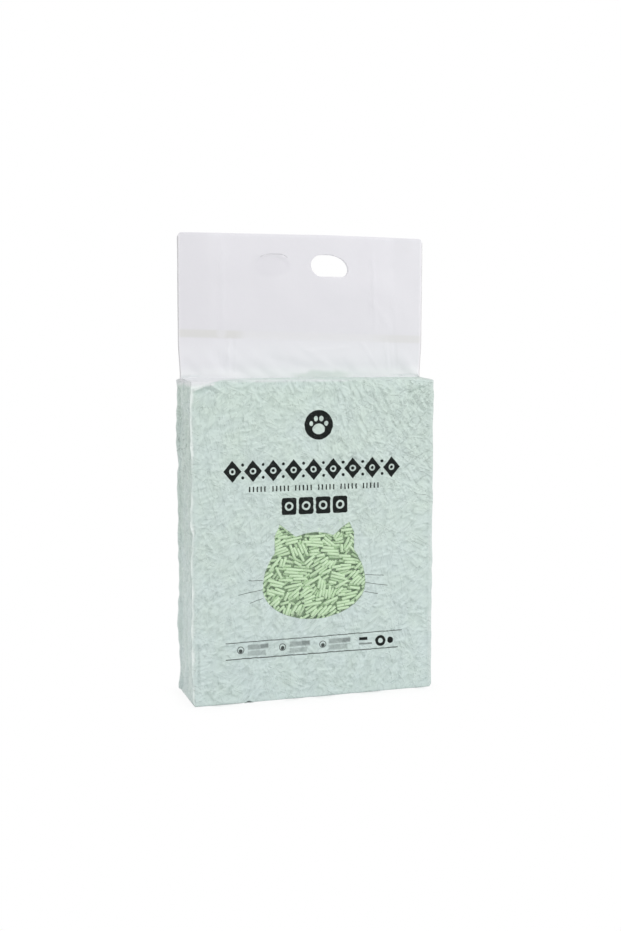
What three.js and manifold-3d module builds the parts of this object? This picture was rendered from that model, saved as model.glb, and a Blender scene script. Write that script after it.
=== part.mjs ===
// A vacuum-packed bag of pelleted cat litter. One bag of film is drawn tight round a brick of
// pellets. Above the brick its layers lie flat on each other as a header, welded shut along a
// slanting heat seal and punched with a hand hole.
// Millimetres, +Z up. The front panel faces -Y, and the origin is the middle of the base.

import * as THREE from 'three';
import { mergeVertices } from 'three/addons/utils/BufferGeometryUtils.js';
import Module from 'manifold-3d';

const wasm = await Module();
wasm.setup();

// Film. The real one is about 0.12 thick and is drawn thicker here, so that it is a solid.
const film = 0.5;
const layerGap = 0.3; // between two layers that lie on each other
const litterGap = 0.3; // between the film and the litter that it holds

// The brick, measured over the film
const brickWidth = 258;
const brickDepth = 66;
const brickHeight = 330;
const cornerRadius = 4; // of the four upright corners
const rimRadius = 3.5; // where the walls turn into the top and the base

// The welded corners stand out sideways as narrow fins in the planes of the front and back
const finReach = 1.5;

// The header. Its layers are a flattened tube whose sides are tucked in between front and back.
const headerOverhang = 4.25; // past the brick at each side
const headerHeight = 148; // above the brick
const headerSetback = 10.5; // of the header's plane behind the brick's middle
const headerCornerRadius = 5;
const tuckDepth = 32; // how far the tucked-in sides reach towards the middle

// The neck is the header's foot, where it narrows and dives into the brick's top
const neckOverhang = 2; // past the brick at each side
const neckRise = 8; // where the neck is that wide, above the brick
const footInset = 0.3; // of the foot's edges inside the brick's sides
const footSink = 8; // how far the foot runs down inside the brick

// The heat seal slants a little, as measured at its middle line above the brick
const sealHeight = 8;
const sealAtLeft = 46.7;
const sealAtRight = 40.6;
// A closed film has no way in, so a narrow stretch of the seal is left unwelded
const ventWidth = 4;

// The hand hole, right of the middle as seen from the front. It is a lopsided oval of four
// elliptic quarters, with a short flat at its top and a longer one at its bottom.
const holeWidth = 41;
const holeHeight = 22.5;
const holeAcross = 28.4; // of its middle, from the bag's middle
const holeUp = 117; // of its middle, above the brick
// Places on the hole's rim, from its middle
const holeLeftEnd = 1; // height of its leftmost point
const holeRightEnd = -4; // height of its rightmost point
const holeTopFlat = { from: -9, to: -3 };
const holeBottomFlat = { from: -8, to: 13.5 };

// Segments in a quarter of a round
const quarterSteps = 4;
// How far a cutting or joining shape runs past what it cuts or joins
const past = 2;

const headerWidth = brickWidth + 2 * headerOverhang;
const neckWidth = brickWidth + 2 * neckOverhang;
const footWidth = brickWidth - 2 * footInset;
const headerLayers = 4;
const headerThickness = headerLayers * film + (headerLayers - 1) * layerGap;

function solidOf(geometry) {
  const plain = geometry.clone();
  plain.deleteAttribute('normal');
  plain.deleteAttribute('uv');
  const merged = mergeVertices(plain);
  const mesh = new wasm.Mesh({
    numProp: 3,
    vertProperties: new Float32Array(merged.attributes.position.array),
    triVerts: new Uint32Array(merged.index.array),
  });
  return new wasm.Manifold(mesh);
}

function geometryOf(solid) {
  const mesh = solid.getMesh();
  const geometry = new THREE.BufferGeometry();
  geometry.setAttribute('position', new THREE.BufferAttribute(mesh.vertProperties, 3));
  geometry.setIndex(new THREE.BufferAttribute(mesh.triVerts, 1));
  geometry.computeVertexNormals();
  return geometry;
}

// A rectangle in the plane of the shape, with its four corners rounded
function roundedRectangle(left, right, low, high, radius) {
  const quarter = Math.PI / 2;
  const shape = new THREE.Shape();
  shape.absarc(right - radius, low + radius, radius, -quarter, 0);
  shape.absarc(right - radius, high - radius, radius, 0, quarter);
  shape.absarc(left + radius, high - radius, radius, quarter, 2 * quarter);
  shape.absarc(left + radius, low + radius, radius, 2 * quarter, 3 * quarter);
  return shape;
}

// The brick's form, or a smaller one inside it by the same amount all round
function brickForm(inset) {
  const halfWidth = brickWidth / 2 - inset;
  const halfDepth = brickDepth / 2 - inset;
  const rim = rimRadius - inset;
  const outline = roundedRectangle(
    -halfWidth, halfWidth, -halfDepth, halfDepth, cornerRadius - inset);
  const geometry = new THREE.ExtrudeGeometry(outline, {
    depth: brickHeight - 2 * rimRadius,
    bevelThickness: rim,
    bevelSize: rim,
    bevelOffset: -rim,
    bevelSegments: quarterSteps,
    curveSegments: quarterSteps,
  });
  geometry.translate(0, 0, rimRadius);
  return solidOf(geometry);
}

// An outline drawn as seen from the front, pushed through the header from front to back
function throughHeader(outline) {
  const depth = headerThickness + 2 * past;
  const geometry = new THREE.ExtrudeGeometry(outline, {
    depth, bevelEnabled: false, curveSegments: 2 * quarterSteps });
  geometry.rotateX(Math.PI / 2);
  geometry.translate(0, headerSetback + depth / 2, 0);
  return solidOf(geometry);
}

// The outside of the flattened tube's section, with a slot where each side is tucked in
function outerSection() {
  const side = headerWidth / 2;
  const fold = side - tuckDepth;
  const face = headerThickness / 2;
  const slot = layerGap / 2;
  return new THREE.Shape([
    new THREE.Vector2(-side, -face),
    new THREE.Vector2(side, -face),
    new THREE.Vector2(side, -slot),
    new THREE.Vector2(fold, -slot),
    new THREE.Vector2(fold, slot),
    new THREE.Vector2(side, slot),
    new THREE.Vector2(side, face),
    new THREE.Vector2(-side, face),
    new THREE.Vector2(-side, slot),
    new THREE.Vector2(-fold, slot),
    new THREE.Vector2(-fold, -slot),
    new THREE.Vector2(-side, -slot),
  ]);
}

// The inside of the same section, one film thickness in from the outside
function innerSection() {
  const side = headerWidth / 2 - film;
  const fold = headerWidth / 2 - tuckDepth - film;
  const face = headerThickness / 2 - film;
  const leaf = layerGap / 2 + film;
  return new THREE.Shape([
    new THREE.Vector2(-side, -face),
    new THREE.Vector2(side, -face),
    new THREE.Vector2(side, -leaf),
    new THREE.Vector2(fold, -leaf),
    new THREE.Vector2(fold, leaf),
    new THREE.Vector2(side, leaf),
    new THREE.Vector2(side, face),
    new THREE.Vector2(-side, face),
    new THREE.Vector2(-side, leaf),
    new THREE.Vector2(-fold, leaf),
    new THREE.Vector2(-fold, -leaf),
    new THREE.Vector2(-side, -leaf),
  ]);
}

// A section run up the header, wider or narrower from one station to the next
function headerRun(section, stations) {
  let run = null;
  for (let i = 1; i < stations.length; i += 1) {
    const low = stations[i - 1];
    const high = stations[i];
    const geometry = new THREE.ExtrudeGeometry(section, {
      depth: high.z - low.z, bevelEnabled: false });
    const at = geometry.attributes.position;
    for (let v = 0; v < at.count; v += 1) {
      const width = at.getZ(v) > 0 ? high.width : low.width;
      at.setX(v, at.getX(v) * width / headerWidth);
    }
    geometry.translate(0, headerSetback, low.z);
    const piece = solidOf(geometry);
    run = run ? run.add(piece) : piece;
  }
  return run;
}

// The seal's height above the brick falls evenly from left to right
const sealMiddle = (sealAtLeft + sealAtRight) / 2;
const sealFoot = brickHeight + Math.min(sealAtLeft, sealAtRight) - sealHeight / 2;
const headerTop = brickHeight + headerHeight;

function headerStations(top) {
  return [
    { z: brickHeight - footSink, width: footWidth },
    { z: brickHeight + neckRise, width: neckWidth },
    { z: sealFoot, width: headerWidth },
    { z: top, width: headerWidth },
  ];
}

function headerOutline() {
  const side = headerWidth / 2;
  const radius = headerCornerRadius;
  const foot = brickHeight - footSink - past;
  const outline = new THREE.Shape();
  outline.moveTo(-side - past, foot);
  outline.lineTo(side + past, foot);
  outline.lineTo(side + past, headerTop - radius);
  outline.lineTo(side, headerTop - radius);
  outline.absarc(side - radius, headerTop - radius, radius, 0, Math.PI / 2);
  outline.absarc(-side + radius, headerTop - radius, radius, Math.PI / 2, Math.PI);
  outline.lineTo(-side - past, headerTop - radius);
  return throughHeader(outline);
}

function sealBar() {
  const side = headerWidth / 2;
  const low = brickHeight - sealHeight / 2;
  const high = brickHeight + sealHeight / 2;
  const outline = new THREE.Shape([
    new THREE.Vector2(-side, low + sealAtLeft),
    new THREE.Vector2(side, low + sealAtRight),
    new THREE.Vector2(side, high + sealAtRight),
    new THREE.Vector2(-side, high + sealAtLeft),
  ]);
  const geometry = new THREE.ExtrudeGeometry(outline, {
    depth: headerThickness, bevelEnabled: false });
  geometry.rotateX(Math.PI / 2);
  geometry.translate(0, headerSetback + headerThickness / 2, 0);
  return solidOf(geometry);
}

// The unwelded stretch has the clear width between the front and back layers
function vent() {
  const high = sealHeight + 2 * past;
  const geometry = new THREE.BoxGeometry(ventWidth, headerThickness - 2 * film, high);
  geometry.translate(0, headerSetback, brickHeight + sealMiddle);
  return solidOf(geometry);
}

function handHole() {
  const x = holeAcross;
  const z = brickHeight + holeUp;
  const side = holeWidth / 2;
  const rise = holeHeight / 2;
  const quarter = Math.PI / 2;
  const topRight = x + holeTopFlat.to;
  const topLeft = x + holeTopFlat.from;
  const bottomRight = x + holeBottomFlat.to;
  const bottomLeft = x + holeBottomFlat.from;
  const outline = new THREE.Shape();
  outline.absellipse(bottomRight, z + holeRightEnd,
    x + side - bottomRight, rise + holeRightEnd, -quarter, 0);
  outline.absellipse(topRight, z + holeRightEnd,
    x + side - topRight, rise - holeRightEnd, 0, quarter);
  outline.absellipse(topLeft, z + holeLeftEnd,
    topLeft - x + side, rise - holeLeftEnd, quarter, 2 * quarter);
  outline.absellipse(bottomLeft, z + holeLeftEnd,
    bottomLeft - x + side, rise + holeLeftEnd, 2 * quarter, 3 * quarter);
  return throughHeader(outline);
}

// A corner weld is two films thick and lies flush with the front or the back
function cornerFin(side, face) {
  const root = brickWidth / 2 - cornerRadius;
  const tip = brickWidth / 2 + finReach;
  const geometry = new THREE.BoxGeometry(tip - root, 2 * film, brickHeight - 2 * rimRadius);
  geometry.translate(
    side * (root + tip) / 2, face * (brickDepth / 2 - film), brickHeight / 2);
  return solidOf(geometry);
}

function filmBag() {
  const header = headerRun(outerSection(), headerStations(headerTop))
    .intersect(headerOutline())
    .add(sealBar());
  let outside = brickForm(0).add(header);
  for (const side of [-1, 1]) {
    for (const face of [-1, 1]) {
      outside = outside.add(cornerFin(side, face));
    }
  }
  const inside = brickForm(film)
    .add(headerRun(innerSection(), headerStations(headerTop + past))
      .subtract(sealBar())
      .add(vent()));
  return outside.subtract(inside).subtract(handHole());
}

function litterBrick() {
  return brickForm(film + litterGap);
}

const filmMaterial = new THREE.MeshStandardMaterial({
  color: 0xd9e2dd, roughness: 0.38, metalness: 0, transparent: true, opacity: 0.7 });
const litterMaterial = new THREE.MeshStandardMaterial({
  color: 0xa5c09e, roughness: 0.85, metalness: 0 });

function named(name, solid, material) {
  const mesh = new THREE.Mesh(geometryOf(solid), material);
  mesh.name = name;
  return mesh;
}

const bag = new THREE.Group();
bag.add(named('film_bag', filmBag(), filmMaterial));
bag.add(named('litter', litterBrick(), litterMaterial));

export default bag;
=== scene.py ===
# A vacuum-packed bag of pelleted cat litter, photographed from its left on a pale studio floor.
# Sizes are in millimetres until a mesh is written, and a mesh is in metres.

import math
from collections import namedtuple

import bpy
import numpy as np
from mathutils import Matrix, Vector


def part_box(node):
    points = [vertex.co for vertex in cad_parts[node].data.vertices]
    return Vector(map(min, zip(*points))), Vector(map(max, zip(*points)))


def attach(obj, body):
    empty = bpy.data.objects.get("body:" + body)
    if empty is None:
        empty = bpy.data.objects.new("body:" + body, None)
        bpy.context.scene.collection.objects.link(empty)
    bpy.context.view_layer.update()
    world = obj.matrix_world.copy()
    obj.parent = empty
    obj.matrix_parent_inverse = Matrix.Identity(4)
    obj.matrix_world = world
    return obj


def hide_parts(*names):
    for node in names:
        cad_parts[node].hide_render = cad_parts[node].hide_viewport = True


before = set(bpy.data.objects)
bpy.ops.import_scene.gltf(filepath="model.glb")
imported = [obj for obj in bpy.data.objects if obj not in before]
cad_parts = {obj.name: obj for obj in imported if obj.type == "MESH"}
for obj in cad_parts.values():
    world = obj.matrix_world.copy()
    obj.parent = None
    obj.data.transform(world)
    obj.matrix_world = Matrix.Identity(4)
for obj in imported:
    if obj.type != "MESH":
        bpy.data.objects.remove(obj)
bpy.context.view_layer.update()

MM = 0.001
QUARTER = math.pi / 2

# The brick and the header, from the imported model
FILM_STAND_IN = 0.8  # film and clearance between the litter's solid and the bag's outside
litter_corner = np.array(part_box("litter")[1]) / MM
bag_corner = np.array(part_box("film_bag")[1]) / MM
HALF_WIDTH, HALF_DEPTH, BRICK_TOP = litter_corner + FILM_STAND_IN
HEADER_SIDE, HEADER_TOP = bag_corner[0], bag_corner[2]

# Film over the brick
RIM = 2.5  # radius of the turn into the top
FOOT_RIM = 1.9  # radius of the turn into the base
BASE_LAP = 1.0  # of the front and back past each other under the middle of the base
DROP_LEFT, DROP_RIGHT = 1.6, 1.2  # fall of the front's top rim at its corners
BACK_DROP = 0.5  # share of that fall at the back's corners
TOP_STEP = 1.2  # of the header's foot above the brick's top
TOP_FILLET = 2.6  # radius of the panels' turn up against the header
WELD_REACH_LEFT, WELD_REACH_RIGHT = 1.7, 0.4  # of the corner welds past the brick's sides
WELD_LEFT, WELD_RIGHT = 1.8, 2.8  # how far a weld lies in over the front and back
CORNER_X, CORNER_Z = -118, 324  # middle of the smooth film at the front's upper left corner
LIFT_X, LIFT = -72, 1.6  # where the front's foot stands off the floor, and how far
RELIEF = 0.9  # depth of the drawn film against that of the pellets alone

# Header
HEADER_BACK = 10.5  # of the header's plane behind the brick's middle
FOOT_SUNK = 5.0  # of the header's foot in between the front and back panels
FOOT_NARROWER = 5.0  # of the sunk foot at each side, so that it stays inside the brick
NECK_SIDE = 131.6  # half the header's width where it leaves the brick
NECK_RISE = 40.0  # height over which it widens from there to its full width
TUCK = 32.0  # depth of the header's tucked-in sides
SEAL_LEFT, SEAL_RIGHT = 46.7, 40.6  # middle of the heat seal above the brick, at each side
SEAL_HEIGHT = 8.0
SEAL_PRESSED = 5.5  # how far from its middle the seal still presses the layers together
LAYER_GAP, SEAL_GAP = 0.2, 0.14  # between the middles of neighbouring layers, and in the seal
TOP_CORNER = 4.5  # radius of the header's upper corners
HOLE_X, HOLE_Z = 28.4, 447.0  # middle of the open hand hole
TAB_X, TAB_Z = -35.5, 446.5  # middle of the one whose tab is still in place

# The hand hole: a lopsided oval with short flats above and below, about its middle
HOLE_LEFT, HOLE_RIGHT, HOLE_UP, HOLE_DOWN = 20.5, 20.5, 11.25, 11.25
HOLE_TOP_FLAT, HOLE_BOTTOM_FLAT = (-9.0, -3.0), (-8.0, 13.5)
HOLE_LEFT_END, HOLE_RIGHT_END = 1.0, -4.0

# Fields of random swells start this far left of the middle of a panel, a side and the header
PANEL_LEFT, SIDE_LEFT, HEADER_LEFT = 140, 45, 150
PANEL_FIELD = 2 * PANEL_LEFT
HEADER_FIELD = 2 * HEADER_LEFT

# Litter
PELLET_RADIUS = 1.55
PELLET_HALF_LENGTHS = (4.0, 10.0)
PACK_EDGE = HALF_WIDTH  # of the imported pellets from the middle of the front
PACK_LAYERS = 1.7  # of pellets over the whole of a face
LAYERS_IN_VIEW = 4.2  # more of them where the window shows the pile
BESIDE_SHARE = 0.7  # of tries alongside a pellet that is there already
STRAY, STRAY_IN_VIEW = 0.25, 0.45  # share of the others that ignore the grain
TRIES = 11  # places tried for each pellet, of which the one furthest out is taken
LAID_BETWEEN_LOOKS = 60  # pellets laid before the hollows are looked for again
FEWEST_HOLLOWS = 20  # samples of a face, below which it counts as full
HOLLOW, LATER_HOLLOW = 0.6, 1.7  # least depth of a hollow, in pellet radii
PILE_PRESSED = 0.7  # how far the pile behind the window is flattened by the vacuum
DEEPEST = 8.0  # how far in the modelled pellets reach
BEHIND_FILM = 0.25  # of the pellets that touch it
# Deeper pellets are painted darker, as shade
DARKER_BY = 12  # depth over which a pellet's shade falls to about a third
SHALLOW = 1.9  # depth that the film over the hollows tends to

# Window, in the front's X and Z
WINDOW_X, WINDOW_Z = -1.2, 117.0
WINDOW_MARGIN = 9  # around the window, in which pellets are modelled too
CHEEK, CROWN, CHIN = 55.5, 56.0, 34.5  # reach of the outline to its sides, up and down
EAR_OUTER = 43.0  # of the ear's upright side from the window's middle
EAR_SHOULDER = 171.0
EAR_TIP = (37.5, 182.5)
EAR_INNER = (19.5, 168.6)
EAR_NEAREST = 11.5  # of the ear's inner end, inside the head
EAR_FOOT = 130.0  # height of that end
EAR_GAP = 8.0  # half the gap between the ears, with no pellets modelled over the crown

# Colours are linear
FILM_GREEN = (0.628, 0.738, 0.668, 1)
FILM_BLUE = (0.651, 0.752, 0.746, 1)
# Painted shade: the film's colour where no pellet touches it, between its fine creases and in its
# gathers
FILM_PAINTED_SHADE = (0.40, 0.48, 0.46, 1)
FILM_BARE = (0.838, 0.89, 0.87, 1)
FILM_TOP = (0.745, 0.755, 0.775, 1)  # bare film on the top, where more light falls
HEADER_COLOUR = (0.807, 0.799, 0.837, 1)
# Painted light: the header is painted paler towards its neck, against the shade of the brick's top
# and its tucked sides, and paler towards its right
NECK_PAINTED_LIGHT = (0.863, 0.863, 0.895, 1)
# Painted light: the header's foot and the film turned up against it are painted paler, against the
# shade where they meet the brick's top
FOOT_PAINTED_LIGHT = (0.95, 0.96, 0.975, 1)
TAB_COLOUR = (0.72, 0.71, 0.755, 1)
FOLD_COLOUR = (0.98, 0.97, 0.99, 1)  # of the header's side folds
SEAL_COLOUR = (0.735, 0.73, 0.725, 1)
INK = (0.004, 0.007, 0.006, 1)
# PELLET_DARK is also the painted shade of the deepest pellets and of the litter bed
PELLET_LIGHT = (0.645, 0.84, 0.55, 1)
PELLET_DARK = (0.48, 0.655, 0.395, 1)
FLOOR_COLOUR = (0.93, 0.93, 0.93, 1)
WHITE = (1, 1, 1, 1)
FILM_ROUGHNESS = 0.36


# Fields of height

def blurred(field):
    padded = np.pad(field, 1, mode="edge")
    return (padded[:-2, 1:-1] + padded[2:, 1:-1] + padded[1:-1, :-2] + padded[1:-1, 2:]) / 4


def between(field, column, row, eased=False):
    """The field's value at places between its samples, in columns and rows."""
    left = column.astype(int)
    low = row.astype(int)
    a = column - left
    b = row - low
    if eased:
        a = a * a * (3 - 2 * a)
        b = b * b * (3 - 2 * b)
    lower = field[low, left] * (1 - a) + field[low, left + 1] * a
    upper = field[low + 1, left] * (1 - a) + field[low + 1, left + 1] * a
    return lower * (1 - b) + upper * b


def sampled(field, cell, u, v):
    """The field's value at u across and v up, in millimetres from its lower left."""
    column = np.clip(u / cell, 0, field.shape[1] - 1.001)
    row = np.clip(v / cell, 0, field.shape[0] - 1.001)
    return between(field, column, row)


def swell(width, height, wavelength, seed):
    """A smooth random field of about -1 to 1, as a function of u across and v up."""
    rng = np.random.default_rng(seed)
    coarse = rng.uniform(-1, 1, (int(height / wavelength) + 4, int(width / wavelength) + 4))

    def field(u, v):
        column = np.clip(u / wavelength + 1, 0, coarse.shape[1] - 2.001)
        row = np.clip(v / wavelength + 1, 0, coarse.shape[0] - 2.001)
        return between(coarse, column, row, eased=True)

    return field


def smooth(low, high, value):
    t = np.clip((value - low) / (high - low), 0, 1)
    return t * t * (3 - 2 * t)


# A pellet's middle across and up a face, its depth behind the film, half its length, its turn
# from level and its lean towards the film
Pellet = namedtuple("Pellet", "u v depth half turned lean")


class Pile:
    """Pellets that are pushed one after another against the film of a face from inside.

    face is the height of what faces the film, 0 where a pellet touches the film's plane and
    less where it lies deeper. under is the height of the pile's inner side.
    """

    def __init__(self, width, height, cell, seed):
        self.width, self.height, self.cell, self.seed = width, height, cell, seed
        self.rng = np.random.default_rng(seed)
        self.rows = int(round(height / cell)) + 1
        self.columns = int(round(width / cell)) + 1
        self.across, self.up = np.meshgrid(np.arange(self.columns) * cell,
                                           np.arange(self.rows) * cell)
        self.face = np.full((self.rows, self.columns), -DEEPEST)
        self.under = np.zeros((self.rows, self.columns))
        self.pellets = []

    def beside_another(self):
        """Place and turn alongside a pellet that is there already."""
        other = self.pellets[self.rng.integers(len(self.pellets))]
        turned = other.turned + self.rng.normal(0, 0.1)
        run, rise = math.cos(turned), math.sin(turned)
        step = self.rng.choice((-2.0, 2.0)) * PELLET_RADIUS
        slide = self.rng.uniform(-1, 1) * other.half
        return other.u + run * slide - rise * step, other.v + rise * slide + run * step, turned

    def over_hollow(self, hollows, grain, stray):
        """Place and turn over one of the hollows. stray is the share that ignores the grain."""
        spot = hollows[self.rng.integers(len(hollows))]
        turned = grain[spot] + self.rng.normal(0, 0.3)
        if self.rng.uniform() < stray:
            turned = self.rng.uniform(0, math.pi)
        return (spot % self.columns) * self.cell, (spot // self.columns) * self.cell, turned

    def pushed_up(self, u, v, half, turned, lean):
        """The pellet there, with its footprint in the fields, or None if it finds no room."""
        run, rise = math.cos(turned), math.sin(turned)
        reach_u = half * abs(run) + PELLET_RADIUS * abs(rise)
        reach_v = half * abs(rise) + PELLET_RADIUS * abs(run)
        if 2 * reach_u > self.width or 2 * reach_v > self.height:
            return None
        u = min(max(u, reach_u), self.width - reach_u)
        v = min(max(v, reach_v), self.height - reach_v)
        left, right = int((u - reach_u) / self.cell), int((u + reach_u) / self.cell) + 2
        low, high = int((v - reach_v) / self.cell), int((v + reach_v) / self.cell) + 2
        du = (np.arange(left, min(right, self.columns)) * self.cell - u)[None, :]
        dv = (np.arange(low, min(high, self.rows)) * self.cell - v)[:, None]
        along = du * run + dv * rise
        aside = dv * run - du * rise
        inside = (np.abs(along) <= half) & (np.abs(aside) <= PELLET_RADIUS)
        if not inside.any():
            return None
        bulge = np.sqrt(np.clip(PELLET_RADIUS ** 2 - aside ** 2, 0, None))
        window = (slice(low, low + along.shape[0]), slice(left, left + along.shape[1]))
        pressed = (np.abs(along) <= half - 0.4) & (np.abs(aside) <= 0.8 * PELLET_RADIUS)
        room = (self.under[window] - lean * along - bulge)[pressed]
        if not len(room) or room.min() < -DEEPEST + PELLET_RADIUS:
            return None
        return Pellet(u, v, room.min(), half, turned, lean), window, inside, along, bulge

    def lay(self, pellet, window, inside, along, bulge):
        """Takes that pellet up into the pile."""
        middle = pellet.depth + pellet.lean * along
        for field, outermost, side in ((self.face, np.maximum, middle + bulge),
                                       (self.under, np.minimum, middle - bulge)):
            field[window] = np.where(inside, outermost(field[window], side), field[window])
        self.pellets.append(pellet)

    def fill(self, seen=None, combed=None):
        """Lays pellets until no hollow is too deep.

        seen gives the part of the face that is filled more than the rest, because it shows,
        and combed the directions that the pellets tend to.
        """
        grain = 1.1 * swell(self.width, self.height, 55, self.seed + 40)(self.across, self.up)
        grain = (grain * 0.5 + combed(self.across, self.up) if combed else grain + 0.4).ravel()
        one_pellet = 2 * PELLET_RADIUS * sum(PELLET_HALF_LENGTHS)
        everywhere = int(PACK_LAYERS * self.width * self.height / one_pellet)
        shown = seen(self.across, self.up).ravel() if seen else None
        more = int(LAYERS_IN_VIEW * shown.sum() * self.cell * self.cell / one_pellet) if seen else 0
        for turn in range(everywhere + more):
            in_view = turn > everywhere
            if turn % LAID_BETWEEN_LOOKS == 0:
                deep = HOLLOW if turn < 0.7 * everywhere else LATER_HOLLOW
                lower = self.face.ravel() < -deep * PELLET_RADIUS
                hollows = np.flatnonzero(lower & shown if in_view else lower)
                if len(hollows) < FEWEST_HOLLOWS:
                    break
            best = None
            for _ in range(TRIES):
                half = self.rng.uniform(*PELLET_HALF_LENGTHS)
                lean = self.rng.normal(0, 0.06)
                if self.pellets and turn < everywhere and self.rng.uniform() < BESIDE_SHARE:
                    u, v, turned = self.beside_another()
                else:
                    stray = STRAY_IN_VIEW if in_view else STRAY
                    u, v, turned = self.over_hollow(hollows, grain, stray)
                tried = self.pushed_up(u, v, half, turned, lean)
                if tried and (best is None or tried[0].depth > best[0].depth):
                    best = tried
            if best:
                self.lay(*best)


def drawn_film(face, pull, rounds):
    """Film sucked onto a face of pellets: it bridges the hollows, and sags into wide ones."""
    film = np.zeros_like(face)
    for _ in range(rounds):
        film = np.maximum(face, blurred(film) - pull)
    return SHALLOW * (np.exp(film / SHALLOW) - 1)


class Pack:
    """The pellets behind one panel and the film that is drawn onto them."""

    def __init__(self, width, height, cell, seed, seen=None, combed=None):
        pile = Pile(width, height, cell, seed)
        pile.fill(seen, combed)
        self.cell = cell
        self.pellets = pile.pellets
        self.film = drawn_film(pile.face, 0.26 * cell * cell, 140)
        # touch is 1 where the film lies on a pellet; where it is less, the film is painted darker as
        # shade
        self.touch = np.clip(1 + (pile.face - self.film) / 1.2, 0, 1)

    def relief(self, u, v):
        return sampled(self.film, self.cell, u, v)

    def contact(self, u, v):
        return sampled(self.touch, self.cell, u, v)


# Meshes

def pick(piece):
    """Selects that object alone."""
    bpy.ops.object.select_all(action="DESELECT")
    piece.select_set(True)
    bpy.context.view_layer.objects.active = piece


def turn_outward(piece, merged=0.0):
    """Turns all faces outward, after points closer than merged have become one."""
    pick(piece)
    bpy.ops.object.mode_set(mode="EDIT")
    bpy.ops.mesh.select_all(action="SELECT")
    if merged:
        bpy.ops.mesh.remove_doubles(threshold=merged * MM)
    bpy.ops.mesh.normals_make_consistent(inside=False)
    bpy.ops.object.mode_set(mode="OBJECT")


def settled(piece):
    piece.data.validate()
    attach(piece, "root")
    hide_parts("film_bag")
    return piece


def sheet(name, across, along, shape, material):
    """A grid of film. shape takes p and q from 0 to 1 and gives places, touch and bareness."""
    bpy.ops.object.select_all(action="DESELECT")
    bpy.ops.mesh.primitive_grid_add(x_subdivisions=across, y_subdivisions=along, size=1)
    piece = bpy.context.object
    piece.name = name
    piece.data.name = name
    flat = np.empty(len(piece.data.vertices) * 3)
    piece.data.vertices.foreach_get("co", flat)
    flat = flat.reshape(-1, 3)
    place, touch, bare = shape(flat[:, 0] + 0.5, flat[:, 1] + 0.5)
    piece.data.vertices.foreach_set("co", (place * MM).ravel())
    for label, values in (("touch", touch), ("bare", bare)):
        layer = piece.data.attributes.new(label, "FLOAT", "POINT")
        layer.data.foreach_set("value", np.asarray(values, dtype=np.float32))
    piece.data.uv_layers[0].name = "OFBake"
    piece.data.update()
    bpy.ops.object.shade_smooth()
    piece.data.materials.append(material)
    return settled(piece)


# Film over the brick

def rim_drop(x):
    """How far the brick's top rim falls towards its corners."""
    left = DROP_LEFT * np.clip((-x - 88) / 42, 0, 1.05) ** 1.3
    right = DROP_RIGHT * np.clip((x - 104) / 26, 0, 1.05)
    return left + right


def bare_corner(x, z, over):
    """1 where the front's film lies bare over its upper left corner, above the pellets.

    over is how far the point lies back over the top, where the bare part fades to the right.
    """
    edge = BRICK_TOP - 10.0 * np.clip((-x - 97) / 33, 0, 1.05) ** 1.2
    fades = np.clip((x + 104 - 0.4 * over) / (8 + 1.6 * over), 0, 1)
    return smooth(-0.6, 0.9, z - edge) * (1 - smooth(0, 1, fades))


def front_grain(x, z):
    """Direction that the front's pellets tend to, in radians from level."""
    upper_right = smooth(170, 240, z) * smooth(-60, 30, x)
    low = smooth(110, 50, z)
    return 0.65 - 1.55 * upper_right - 0.4 * low


FRONT_SWELL = swell(PANEL_FIELD, 430, 34, 6)


def front_roll(x, run):
    """How far the front's pellets and film lie out, over long stretches."""
    return 0.32 * FRONT_SWELL(x + PANEL_LEFT, run) - 0.3


def panel_path(q, face_sign, drop, rows):
    """A panel's run from the base, up the face and over the top to the header.

    rows gives the share of q for base, turn, face, turn and top. The result is y, z, the outward
    normal's y and z, the length along the run and how far the point is on the flat face.
    """
    base, foot, face, rim = np.cumsum(rows)[:4] / sum(rows)
    base_run = HALF_DEPTH - FOOT_RIM + BASE_LAP
    face_run = BRICK_TOP - RIM - FOOT_RIM
    foot_end = base_run + FOOT_RIM * QUARTER
    face_end = foot_end + face_run
    top_run = HALF_DEPTH - RIM - face_sign * HEADER_BACK + 0.8
    path = np.zeros((5, len(q)))

    def stretch(on, *values):
        for line, value in zip(path, values):
            line[on] = np.broadcast_to(value, q.shape)[on]

    t = q / base
    stretch(q <= base, t * base_run - BASE_LAP, 0, 0, -1, t * base_run)

    angle = (q - base) / (foot - base) * QUARTER
    stretch((q > base) & (q <= foot),
            HALF_DEPTH - FOOT_RIM + FOOT_RIM * np.sin(angle), FOOT_RIM - FOOT_RIM * np.cos(angle),
            np.sin(angle), -np.cos(angle), base_run + FOOT_RIM * angle)

    t = (q - foot) / (face - foot)
    stretch((q > foot) & (q <= face),
            HALF_DEPTH, FOOT_RIM + t * (face_run - drop), 1, 0, foot_end + t * face_run)

    angle = (q - face) / (rim - face) * QUARTER
    stretch((q > face) & (q <= rim),
            HALF_DEPTH - RIM + RIM * np.cos(angle), BRICK_TOP - drop - RIM + RIM * np.sin(angle),
            np.cos(angle), np.sin(angle), face_end + RIM * angle)

    # Over the top the rows crowd towards the header, where the film turns up against it
    t = 1 - np.clip((1 - q) / (1 - rim), 0, 1) ** 1.6
    turned_up = np.clip(1 - (1 - t) * top_run / TOP_FILLET, 0, 1)
    rise = TOP_FILLET * (1 - np.sqrt(1 - turned_up ** 2))
    stretch(q > rim, HALF_DEPTH - RIM - t * top_run,
            BRICK_TOP - drop + t * (drop + TOP_STEP) + rise, 0, 1,
            face_end + RIM * QUARTER + t * top_run)

    y, z, normal_y, normal_z, run = path
    faced = smooth(base, foot, q) * (1 - smooth(face, rim, q))
    return y * face_sign, z, normal_y * face_sign, normal_z, run, faced


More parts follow.
